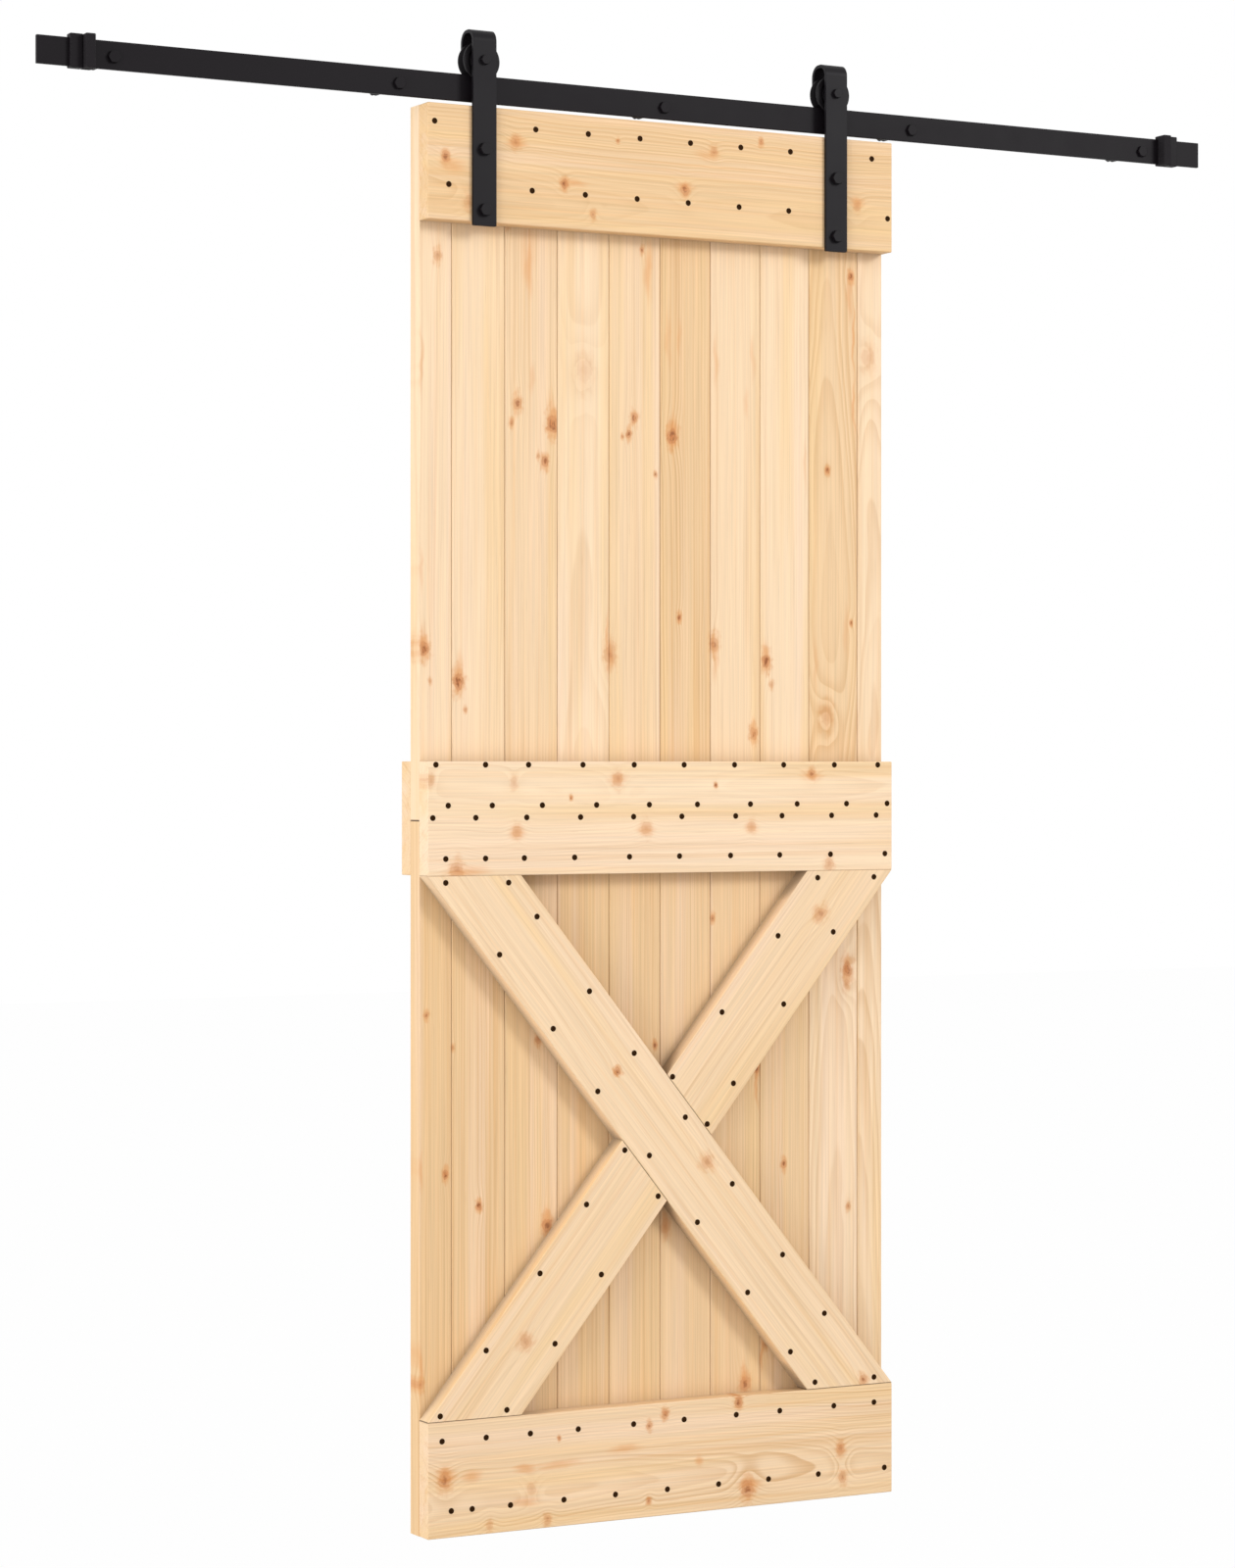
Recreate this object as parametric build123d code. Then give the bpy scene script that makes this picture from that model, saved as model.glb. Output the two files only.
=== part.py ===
from build123d import *
import math
import os

# Sliding door of pine boards, hung by two wheeled strap hangers from a flat steel track on a wall.
# Millimetres. +X runs right along the track, +Y into the wall, +Z up. The wall face is Y = 0, and the
# origin lies on the wall-side end of the middle spacer, midway across its ring, under the screw.

# Door leaf
door_width = 800.0
door_height = 2100.0
board_thickness = 30.0
board_count = 10
first_board_width = 53.0
last_board_width = 45.0
leaf_rest_x = -2.0
leaf_to_wall = 5.0
panel_split_height = 1050.0
panel_joint_gap = 0.4
tongue_thickness = 8.0
tongue_length = 7.0
tongue_clearance = 0.2
board_arris = 1.2

# Rails and braces across the panel
cross_rail_height = 170.0
middle_rail_height = 168.0
middle_rail_above_split = 3.0
brace_width = 119.0
brace_joint_gap = 0.4
rail_arris = 1.0

# Flat track and what holds it to the wall
track_length = 1995.0
track_height = 40.0
track_thickness = 6.0
track_arris = 0.6
screw_inset = 113.5
screw_count = 5
screw_below_track_top = 22.0
screw_radius = 4.0
screw_thread_height = 0.4
screw_hole_clearance = 0.25
screw_head_flats = 16.0
screw_head_height = 4.5
screw_reach_into_wall = 12.0
screw_point_length = 7.0
spacer_radius = 6.0

# End stops
stop_inset = 47.0
collar_front_wall = 6.0
stop_top_wall = 5.5
stop_back_wall = 2.5
stop_lip = 2.5
stop_clearance = 0.2
stop_arris = 1.0
collar_width = 19.5
buffer_width = 14.5
buffer_reach = 17.0
door_under_stop = 5.0

# Hangers
left_hanger_inset = 90.5
right_hanger_inset = 104.0
strap_width = 38.0
strap_thickness = 5.0
strap_bend_radius = 18.0
strap_to_track = 13.0
strap_rise = 66.5
strap_below_door_top = 176.0
strap_corner = 2.0
leg_below_axle = 18.0
leg_corner = 9.0
upper_bolt_drop = 63.0
bolt_spacing = 89.5
bolt_radius = 5.0
bolt_flats = 17.0
bolt_head_height = 6.4
bolt_hole_clearance = 0.25
nut_height = 8.0
nut_flange_radius = 11.0
nut_flange_height = 2.0
thread_clearance = 0.1
thread_past_nut = 3.0

# Wheels
wheel_radius = 29.5
wheel_width = 22.0
rolling_radius = 20.5
wheel_seat_clearance = 0.3
groove_side_clearance = 1.0
rim_width = 3.5
rim_chamfer = 1.0
hub_radius = 18.0
web_outer_radius = 22.5
web_recess = 2.5
web_slope = 0.5
axle_radius = 4.0
axle_running_clearance = 0.05
axle_flats = 13.0
axle_head_height = 5.3
axle_nut_height = 6.5
axle_washer_radius = 9.0
washer_side_clearance = 0.3

# Places across the wall, from the wall face forwards
back_rail_back_y = -leaf_to_wall
panel_back_y = back_rail_back_y - board_thickness
panel_front_y = panel_back_y - board_thickness
leaf_front_y = panel_front_y - board_thickness
track_front_y = leaf_front_y + strap_to_track
track_back_y = track_front_y + track_thickness
strap_front_y = leaf_front_y - strap_thickness
leg_front_y = track_back_y + strap_to_track
leg_back_y = leg_front_y + strap_thickness

# The room for the wheel inside its strap
strap_inner_gap = leg_front_y - leaf_front_y
washer_thickness = (strap_inner_gap - wheel_width) / 2 - washer_side_clearance

# Heights
screw_hole_radius = screw_radius + screw_hole_clearance
screw_z = (spacer_radius + screw_hole_radius) / 2
track_top_z = screw_z + screw_below_track_top
track_bottom_z = track_top_z - track_height
door_top_z = track_bottom_z - stop_lip - door_under_stop
door_bottom_z = door_top_z - door_height
split_z = door_bottom_z + panel_split_height
middle_rail_z = split_z + middle_rail_above_split
field_top_z = middle_rail_z - middle_rail_height / 2
field_bottom_z = door_bottom_z + cross_rail_height
axle_z = track_top_z + rolling_radius
strap_top_z = track_top_z + strap_rise
strap_bottom_z = door_top_z - strap_below_door_top
bolt_heights = [door_top_z - upper_bolt_drop, door_top_z - upper_bolt_drop - bolt_spacing]

# Places along the track
door_left_x = leaf_rest_x - door_width / 2
door_right_x = leaf_rest_x + door_width / 2
hanger_places = {"left": door_left_x + left_hanger_inset, "right": door_right_x - right_hanger_inset}
screw_span = track_length - 2 * screw_inset
screw_places = [screw_span * (i / (screw_count - 1) - 1 / 2) for i in range(screw_count)]
stop_outer_x = track_length / 2 - stop_inset


def block(x0, x1, y0, y1, z0, z1):
    """A box between two corners."""
    middle = Pos((x0 + x1) / 2, (y0 + y1) / 2, (z0 + z1) / 2)
    return middle * Box(x1 - x0, y1 - y0, z1 - z0)


def rod(x, z, y0, y1, radius):
    """A round bar along Y."""
    return Pos(x, (y0 + y1) / 2, z) * Rot(90, 0, 0) * Cylinder(radius, y1 - y0)


def facing_front(x, y, z):
    """A plane that looks out of the wall, with its X along the track."""
    return Plane(origin=(x, y, z), x_dir=(1, 0, 0), z_dir=(0, -1, 0))


def facing_wall(x, y, z):
    return Plane(origin=(x, y, z), x_dir=(1, 0, 0), z_dir=(0, 1, 0))


def hexagon(plane, flats, height):
    """A hexagon head with flats above and below and its outer corners turned off."""
    prism = extrude(plane * RegularPolygon(flats / 2, 6, major_radius=False), height)
    corner_radius = flats / math.sqrt(3)
    turned = extrude(plane * Circle(corner_radius), height)
    outer_rim = turned.faces().sort_by(Axis(plane.origin, plane.z_dir))[-1].edges()
    turned = chamfer(outer_rim, height / 8, (corner_radius - flats / 2) * 1.2)
    return prism & turned


def panel_joints():
    """X of each joint between boards; those between the two edge boards are evenly spaced."""
    first = door_left_x + first_board_width
    last = door_right_x - last_board_width
    pitch = (last - first) / (board_count - 2)
    return [first + pitch * i for i in range(board_count - 1)]


def panel_board(x0, x1, z0, z1, has_groove, has_tongue):
    """One upright tongue-and-groove board with its arrises eased."""
    board = block(x0, x1, panel_front_y, panel_back_y, z0, z1)
    board = chamfer(board.edges().filter_by(Axis.Z), board_arris)
    middle_y = (panel_front_y + panel_back_y) / 2
    half = tongue_thickness / 2
    if has_tongue:
        reach = x1 + tongue_length
        board += block(x1 - board_arris, reach, middle_y - half, middle_y + half, z0, z1)
    if has_groove:
        depth = panel_joint_gap + tongue_length + tongue_clearance
        half += tongue_clearance
        board -= block(x0 - 1, x0 + depth - panel_joint_gap, middle_y - half, middle_y + half, z0, z1)
    return board


def panel_row(z0, z1):
    """All the boards of one half of the panel, from left to right."""
    joints = panel_joints()
    lefts = [door_left_x] + [x + panel_joint_gap / 2 for x in joints]
    rights = [x - panel_joint_gap / 2 for x in joints] + [door_right_x]
    row = []
    for i, (x0, x1) in enumerate(zip(lefts, rights)):
        row.append(panel_board(x0, x1, z0, z1, i > 0, i < len(joints)))
    return row


def hanger_bolt_holes():
    """The bores for the strap bolts through the leaf."""
    radius = bolt_radius + bolt_hole_clearance
    holes = []
    for x in hanger_places.values():
        for z in bolt_heights:
            holes.append(rod(x, z, strap_front_y - 1, panel_back_y + 1, radius))
    return holes


def cross_rail(y0, y1, z0, z1):
    rail = block(door_left_x, door_right_x, y0, y1, z0, z1)
    return chamfer(rail.edges(), rail_arris)


def brace_strip(lean, spread):
    """A diagonal strip between middle and bottom rail; lean +1 starts at the upper left corner."""
    half = door_width / 2
    rise = field_top_z - field_bottom_z
    angle = math.atan2(rise, door_width) + math.asin(brace_width / math.hypot(rise, door_width))
    end = brace_width / math.sin(angle)
    extra = spread / math.sin(angle)
    corners = [
        (leaf_rest_x - lean * (half + extra), field_top_z),
        (leaf_rest_x - lean * (half - end - extra), field_top_z),
        (leaf_rest_x + lean * (half + extra), field_bottom_z),
        (leaf_rest_x + lean * (half - end - extra), field_bottom_z),
    ]
    face = make_face(Polyline(*corners, close=True))
    return extrude(facing_front(0, panel_front_y, 0) * face, board_thickness)


def ease_front(piece):
    """Chamfers the edges of the face that looks out of the wall."""
    front = piece.faces().sort_by(Axis.Y)[0]
    return chamfer(front.edges(), rail_arris)


def short_brace(z0, z1):
    """One half of the crossing brace, butted against the long one."""
    crossing = brace_strip(-1, 0) - brace_strip(1, brace_joint_gap)
    return ease_front(crossing & block(door_left_x, door_right_x, leaf_front_y, panel_front_y, z0, z1))


def track():
    """The flat bar that the wheels roll on, with its screw holes."""
    half = track_length / 2
    bar = block(-half, half, track_front_y, track_back_y, track_bottom_z, track_top_z)
    bar = chamfer(bar.edges(), track_arris)
    for x in screw_places:
        bar -= rod(x, screw_z, track_front_y - 1, track_back_y + 1, screw_hole_radius)
    return bar


def wall_spacer(x):
    tube = rod(x, screw_z, track_back_y, 0, spacer_radius)
    return tube - rod(x, screw_z, track_back_y - 1, 1, screw_hole_radius)


def wall_screw(x):
    """A coach screw through track and spacer, with its end standing out to go into the wall."""
    head = hexagon(facing_front(x, track_front_y, screw_z), screw_head_flats, screw_head_height)
    shank = rod(x, screw_z, track_front_y, 0, screw_radius - screw_thread_height)
    thread = rod(x, screw_z, 0, screw_reach_into_wall, screw_radius)
    tip_plane = facing_wall(x, screw_reach_into_wall, screw_z)
    point = tip_plane * Pos(0, 0, screw_point_length / 2) * Cone(screw_radius, 0.5, screw_point_length)
    return head + shank + thread + point


def stop_ring(x0, x1, front_y):
    """A piece threaded on the track: its inside is the track's section and a clearance."""
    outer = block(x0, x1, front_y, track_back_y + stop_back_wall,
                  track_bottom_z - stop_lip, track_top_z + stop_top_wall)
    outer = chamfer(outer.edges(), stop_arris)
    inner = block(x0 - 1, x1 + 1, track_front_y - stop_clearance, track_back_y + stop_clearance,
                  track_bottom_z - stop_clearance, track_top_z + stop_clearance)
    return outer - inner


def stop_collar(side):
    ends = sorted([side * stop_outer_x, side * (stop_outer_x - collar_width)])
    return stop_ring(*ends, track_front_y - collar_front_wall)


def stop_buffer(side):
    seat = stop_outer_x - collar_width
    ends = sorted([side * seat, side * (seat - buffer_width)])
    return stop_ring(*ends, track_front_y - buffer_reach)


def hanger_strap(x):
    """A flat strap that runs up the door, over the wheel and down behind it."""
    half = strap_thickness / 2
    path = FilletPolyline(
        (strap_front_y + half, strap_bottom_z),
        (strap_front_y + half, strap_top_z - half),
        (leg_back_y - half, strap_top_z - half),
        (leg_back_y - half, axle_z - leg_below_axle),
        radius=strap_bend_radius - half,
    )
    section = Plane.YZ.offset(x) * trace(path, strap_thickness)
    strap = extrude(section, strap_width / 2, both=True)
    across = strap.edges().filter_by(Axis.Y)
    strap = fillet(across.group_by(Axis.Z)[0], strap_corner)
    leg_end = strap.edges().filter_by(Axis.Y).filter_by_position(Axis.Y, leg_front_y, leg_back_y)
    strap = fillet(leg_end, leg_corner)
    for z in bolt_heights:
        strap -= rod(x, z, strap_front_y - 1, leaf_front_y + 1, bolt_radius + bolt_hole_clearance)
    strap -= rod(x, axle_z, strap_front_y - 1, leg_back_y + 1, axle_radius + thread_clearance)
    return strap


def through_bolt(x, z, y_seat, y_end, radius, flats, head_height):
    head = hexagon(facing_front(x, y_seat, z), flats, head_height)
    return head + rod(x, z, y_seat, y_end, radius)


def strap_bolt(x, z):
    y_end = panel_back_y + nut_flange_height + nut_height + thread_past_nut
    return through_bolt(x, z, strap_front_y, y_end, bolt_radius, bolt_flats, bolt_head_height)


def strap_nut(x, z):
    """A flanged nut on the back of the panel."""
    flange = rod(x, z, panel_back_y, panel_back_y + nut_flange_height, nut_flange_radius)
    nut = hexagon(facing_wall(x, panel_back_y + nut_flange_height, z), bolt_flats, nut_height)
    return flange + nut - rod(x, z, panel_back_y - 1, 0, bolt_radius + thread_clearance)


def axle_bolt(x):
    y_end = leg_back_y + axle_nut_height + thread_past_nut
    return through_bolt(x, axle_z, strap_front_y, y_end, axle_radius, axle_flats, axle_head_height)


def axle_nut(x):
    nut = hexagon(facing_wall(x, leg_back_y, axle_z), axle_flats, axle_nut_height)
    return nut - rod(x, axle_z, leg_back_y - 1, 0, axle_radius + thread_clearance)


def axle_washers(x):
    """The rings that keep the wheel in the middle of the strap."""
    rings = []
    for y0 in (leaf_front_y, leg_front_y - washer_thickness):
        y1 = y0 + washer_thickness
        ring = rod(x, axle_z, y0, y1, axle_washer_radius)
        rings.append(ring - rod(x, axle_z, y0 - 1, y1 + 1, axle_radius + thread_clearance))
    return rings


def wheel(x):
    """A turned wheel with a groove for the track and a recess on each face."""
    half = wheel_width / 2
    root = rolling_radius - wheel_seat_clearance
    side = [
        (axle_radius + axle_running_clearance, half),
        (hub_radius, half),
        (hub_radius + web_slope, half - web_recess),
        (web_outer_radius - web_slope, half - web_recess),
        (web_outer_radius, half),
        (wheel_radius - rim_chamfer, half),
        (wheel_radius, half - rim_chamfer),
        (wheel_radius, half - rim_width),
        (root, track_thickness / 2 + groove_side_clearance),
    ]
    outline = side + [(r, -y) for r, y in reversed(side)]
    turned = revolve(make_face(Polyline(*outline, close=True)), Axis.Y)
    return Pos(x, (leaf_front_y + leg_front_y) / 2, axle_z) * turned


def leaf_pieces():
    pieces = {}
    holes = hanger_bolt_holes()
    gap = panel_joint_gap / 2
    rows = {"upper": panel_row(split_z + gap, door_top_z), "lower": panel_row(door_bottom_z, split_z - gap)}
    for name, row in rows.items():
        for i, board in enumerate(row):
            pieces[f"{name}_board_{i + 1:02d}"] = board - holes if name == "upper" else board
    rail_depth = (leaf_front_y, panel_front_y)
    middle = (field_top_z, field_top_z + middle_rail_height)
    pieces["top_rail"] = cross_rail(*rail_depth, door_top_z - cross_rail_height, door_top_z) - holes
    pieces["middle_rail"] = cross_rail(*rail_depth, *middle)
    pieces["bottom_rail"] = cross_rail(*rail_depth, door_bottom_z, field_bottom_z)
    pieces["back_middle_rail"] = cross_rail(panel_back_y, back_rail_back_y, *middle)
    crossing_z = (field_top_z + field_bottom_z) / 2
    pieces["long_brace"] = ease_front(brace_strip(1, 0))
    pieces["upper_short_brace"] = short_brace(crossing_z, field_top_z)
    pieces["lower_short_brace"] = short_brace(field_bottom_z, crossing_z)
    return pieces


def hanger_pieces():
    pieces = {}
    places = hanger_places.values()
    for side, x in hanger_places.items():
        pieces[f"{side}_hanger_strap"] = hanger_strap(x)
        pieces[f"{side}_wheel"] = wheel(x)
    pieces["strap_bolts"] = Compound([strap_bolt(x, z) for x in places for z in bolt_heights])
    pieces["strap_nuts"] = Compound([strap_nut(x, z) for x in places for z in bolt_heights])
    pieces["axle_bolts"] = Compound([axle_bolt(x) for x in places])
    pieces["axle_nuts"] = Compound([axle_nut(x) for x in places])
    pieces["axle_washers"] = Compound([ring for x in places for ring in axle_washers(x)])
    return pieces


def track_pieces():
    return {
        "track_bar": track(),
        "wall_spacers": Compound([wall_spacer(x) for x in screw_places]),
        "wall_screws": Compound([wall_screw(x) for x in screw_places]),
        "left_stop_collar": stop_collar(-1),
        "right_stop_collar": stop_collar(1),
        "left_stop_buffer": stop_buffer(-1),
        "right_stop_buffer": stop_buffer(1),
    }


os.makedirs("parts", exist_ok=True)
for name, shape in {**track_pieces(), **leaf_pieces(), **hanger_pieces()}.items():
    export_step(shape, f"parts/{name}.step")
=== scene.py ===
import math
import random

import bpy
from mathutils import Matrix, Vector


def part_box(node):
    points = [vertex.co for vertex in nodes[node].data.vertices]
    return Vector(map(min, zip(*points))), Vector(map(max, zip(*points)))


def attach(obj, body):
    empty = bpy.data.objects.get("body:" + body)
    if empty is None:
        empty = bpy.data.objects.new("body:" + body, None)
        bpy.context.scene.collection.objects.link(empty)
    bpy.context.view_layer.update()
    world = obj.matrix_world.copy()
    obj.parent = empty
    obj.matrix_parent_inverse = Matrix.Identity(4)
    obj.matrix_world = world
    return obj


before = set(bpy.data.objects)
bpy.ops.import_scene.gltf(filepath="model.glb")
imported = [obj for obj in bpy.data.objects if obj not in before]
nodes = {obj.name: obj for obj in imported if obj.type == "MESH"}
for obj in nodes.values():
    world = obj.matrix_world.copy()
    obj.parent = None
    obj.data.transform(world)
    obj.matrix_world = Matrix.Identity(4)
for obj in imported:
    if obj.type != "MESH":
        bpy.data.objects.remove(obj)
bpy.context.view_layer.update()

mm = 0.001

# The viewpoint: a level camera stands well back to the left of the door, a little above its middle, and
# looks to the right at it. The picture is 1260 x 1600 with a 36 mm sensor along its long side.
leaf_left_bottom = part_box("bottom_rail")[0]
leaf_front_y = leaf_left_bottom.y
leaf_bottom_z = leaf_left_bottom.z
leaf_middle_x = (leaf_left_bottom.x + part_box("bottom_rail")[1].x) / 2
picture_long_side = 1600
picture_centre = (630, 800)
axis_pixel = (650, 782.4)
eye_left_of_door = 2874.9 * mm
eye_in_front = 5171.4 * mm
eye_above_bottom = 1129.0 * mm
eye_yaw = math.radians(28.628)
lens_pixels = 4001.8
sensor = 36.0

camera = bpy.data.cameras.new("camera")
camera.sensor_width = sensor
camera.lens = lens_pixels * sensor / picture_long_side
camera.shift_x = (picture_centre[0] - axis_pixel[0]) / picture_long_side
camera.shift_y = (axis_pixel[1] - picture_centre[1]) / picture_long_side
camera.clip_end = 60
camera_holder = bpy.data.objects.new("camera", camera)
camera_holder.location = (leaf_middle_x - eye_left_of_door, leaf_front_y - eye_in_front,
                          leaf_bottom_z + eye_above_bottom)
camera_holder.rotation_euler = (math.radians(90), 0, -eye_yaw)
bpy.context.scene.collection.objects.link(camera_holder)
bpy.context.scene.camera = camera_holder
bpy.context.scene.view_settings.view_transform = "Standard"


# The light of a white studio: an even glow from all sides, one large soft lamp high to the right in front
# of the door, and one far to its left that lights the left edges. What the camera, a gloss or a clear piece
# sees is plain white.
sky_strength = 0.69
sky_seen_strength = 1.0
sky = bpy.data.worlds.new("studio")
bpy.context.scene.world = sky
sky.use_nodes = True
sky_nodes = sky.node_tree.nodes
sky_nodes.clear()


def white_for_seeing(tree):
    """A mask that is 1 for what the camera sees directly, in a gloss or through a clear piece."""
    path = tree.nodes.new("ShaderNodeLightPath")
    either = tree.nodes.new("ShaderNodeMath")
    either.operation = "MAXIMUM"
    tree.links.new(path.outputs["Is Camera Ray"], either.inputs[0])
    tree.links.new(path.outputs["Is Glossy Ray"], either.inputs[1])
    all_three = tree.nodes.new("ShaderNodeMath")
    all_three.operation = "MAXIMUM"
    tree.links.new(either.outputs[0], all_three.inputs[0])
    tree.links.new(path.outputs["Is Transmission Ray"], all_three.inputs[1])
    return all_three.outputs[0]


glow = sky_nodes.new("ShaderNodeBackground")
glow.inputs["Color"].default_value = (1.0, 1.0, 1.0, 1.0)
seen_strength = sky_nodes.new("ShaderNodeMapRange")
seen_strength.inputs["To Min"].default_value = sky_strength
seen_strength.inputs["To Max"].default_value = sky_seen_strength
sky.node_tree.links.new(white_for_seeing(sky.node_tree), seen_strength.inputs["Value"])
sky.node_tree.links.new(seen_strength.outputs["Result"], glow.inputs["Strength"])
sky_output = sky_nodes.new("ShaderNodeOutputWorld")
sky.node_tree.links.new(glow.outputs["Background"], sky_output.inputs["Surface"])


def soft_lamp(name, place, aim, size, power):
    """A square area lamp at a place, turned towards a point."""
    lamp = bpy.data.lights.new(name, "AREA")
    lamp.size = size
    lamp.energy = power
    holder = bpy.data.objects.new(name, lamp)
    holder.location = place
    holder.rotation_euler = (Vector(aim) - Vector(place)).to_track_quat("-Z", "Y").to_euler()
    bpy.context.scene.collection.objects.link(holder)


aim_above_bottom = 1.1
leaf_aim = (0, leaf_front_y, leaf_bottom_z + aim_above_bottom)
soft_lamp("key_lamp", place=(5.4, -6.9, 3.0), aim=leaf_aim, size=2.4, power=350)
soft_lamp("left_lamp", place=(-7.0, -2.0, -1.4), aim=leaf_aim, size=3.5, power=370)


# The floor: a wide pale studio floor a hand's breadth below the door leaf, which hangs free of it.
# It keeps a trace of the leaf's soft shadow and is otherwise as white as the studio behind.
floor_gap = 90 * mm
floor_half_width = 14.0
floor_whiteness = 0.985
floor_grey = (0.55, 0.54, 0.53, 1.0)
floor_z = leaf_bottom_z - floor_gap
floor_mesh = bpy.data.meshes.new("floor")
corners = [(-1, -1), (1, -1), (1, 1), (-1, 1)]
floor_points = [(x * floor_half_width, y * floor_half_width, floor_z) for x, y in corners]
floor_mesh.from_pydata(floor_points, [], [(0, 1, 2, 3)])
floor = bpy.data.objects.new("floor", floor_mesh)
bpy.context.scene.collection.objects.link(floor)

floor_paint = bpy.data.materials.new("floor_paint")
floor_paint.use_nodes = True
floor_tree = floor_paint.node_tree
floor_tree.nodes.clear()
matt = floor_tree.nodes.new("ShaderNodeBsdfDiffuse")
matt.inputs["Color"].default_value = floor_grey
white = floor_tree.nodes.new("ShaderNodeEmission")
white.inputs["Strength"].default_value = 1.0
share = floor_tree.nodes.new("ShaderNodeMath")
share.operation = "MULTIPLY"
share.inputs[1].default_value = floor_whiteness
floor_tree.links.new(white_for_seeing(floor_tree), share.inputs[0])
blend_floor = floor_tree.nodes.new("ShaderNodeMixShader")
floor_tree.links.new(share.outputs[0], blend_floor.inputs["Fac"])
floor_tree.links.new(matt.outputs["BSDF"], blend_floor.inputs[1])
floor_tree.links.new(white.outputs["Emission"], blend_floor.inputs[2])
floor_output = floor_tree.nodes.new("ShaderNodeOutputMaterial")
floor_tree.links.new(blend_floor.outputs["Shader"], floor_output.inputs["Surface"])
floor_mesh.materials.append(floor_paint)


# The panel: an upper and a lower row of ten upright tongue-and-groove boards each, of planed, unvarnished
# pine. Each board is sawn from another part of the trunk, so each has its own rings, tone and knots.
def srgb(red, green, blue):
    """A screen colour of 0 to 255 as the linear colour that a shader takes."""
    channels = [value / 255 for value in (red, green, blue)]
    linear = [c / 12.92 if c <= 0.04045 else ((c + 0.055) / 1.055) ** 2.4 for c in channels]
    return (*linear, 1.0)


def feed(tree, value, socket):
    """Links an output to a socket, or sets the socket to a plain value."""
    if isinstance(value, bpy.types.NodeSocket):
        tree.links.new(value, socket)
    else:
        socket.default_value = value


def reckon(tree, operation, *values):
    """The result of a sum on numbers or outputs."""
    node = tree.nodes.new("ShaderNodeMath")
    node.operation = operation
    for value, socket in zip(values, node.inputs):
        feed(tree, value, socket)
    return node.outputs[0]


def reckon_vector(tree, operation, *values):
    """The result of a sum on vectors; a length comes out as a number."""
    node = tree.nodes.new("ShaderNodeVectorMath")
    node.operation = operation
    for value, socket in zip(values, node.inputs):
        feed(tree, value, socket)
    return node.outputs["Value" if operation == "LENGTH" else "Vector"]


def step_between(tree, value, low, high):
    """A smooth step that is 0 at low and 1 at high."""
    node = tree.nodes.new("ShaderNodeMapRange")
    node.interpolation_type = "SMOOTHSTEP"
    feed(tree, value, node.inputs["Value"])
    feed(tree, low, node.inputs["From Min"])
    feed(tree, high, node.inputs["From Max"])
    return node.outputs["Result"]


def noise(tree, place, seed, scale, detail):
    """Noise that is stretched by a scale for each direction; the seed picks another pattern."""
    node = tree.nodes.new("ShaderNodeTexNoise")
    node.noise_dimensions = "4D"
    feed(tree, reckon_vector(tree, "MULTIPLY", place, scale), node.inputs["Vector"])
    feed(tree, seed, node.inputs["W"])
    node.inputs["Scale"].default_value = 1.0
    node.inputs["Detail"].default_value = detail
    return node


def tint(tree, amount, below, above, kind="MIX"):
    """A colour with another laid over it."""
    node = tree.nodes.new("ShaderNodeMix")
    node.data_type = "RGBA"
    node.blend_type = kind
    feed(tree, amount, node.inputs["Factor"])
    feed(tree, below, node.inputs["A"])
    feed(tree, above, node.inputs["B"])
    return node.outputs["Result"]


def start_group(name, inputs, outputs):
    """A shader node group with named sockets, and its two end nodes."""
    tree = bpy.data.node_groups.new(name, "ShaderNodeTree")
    for label, kind in inputs.items():
        tree.interface.new_socket(label, in_out="INPUT", socket_type="NodeSocket" + kind)
    for label, kind in outputs.items():
        tree.interface.new_socket(label, in_out="OUTPUT", socket_type="NodeSocket" + kind)
    return tree, tree.nodes.new("NodeGroupInput").outputs, tree.nodes.new("NodeGroupOutput").inputs


def place_group(tree, group, **values):
    """Puts a group into a tree; the values are given by socket name with _ for a space."""
    node = tree.nodes.new("ShaderNodeGroup")
    node.node_tree = group
    for label, value in values.items():
        feed(tree, value, node.inputs[label.replace("_", " ")])
    return node.outputs


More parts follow.
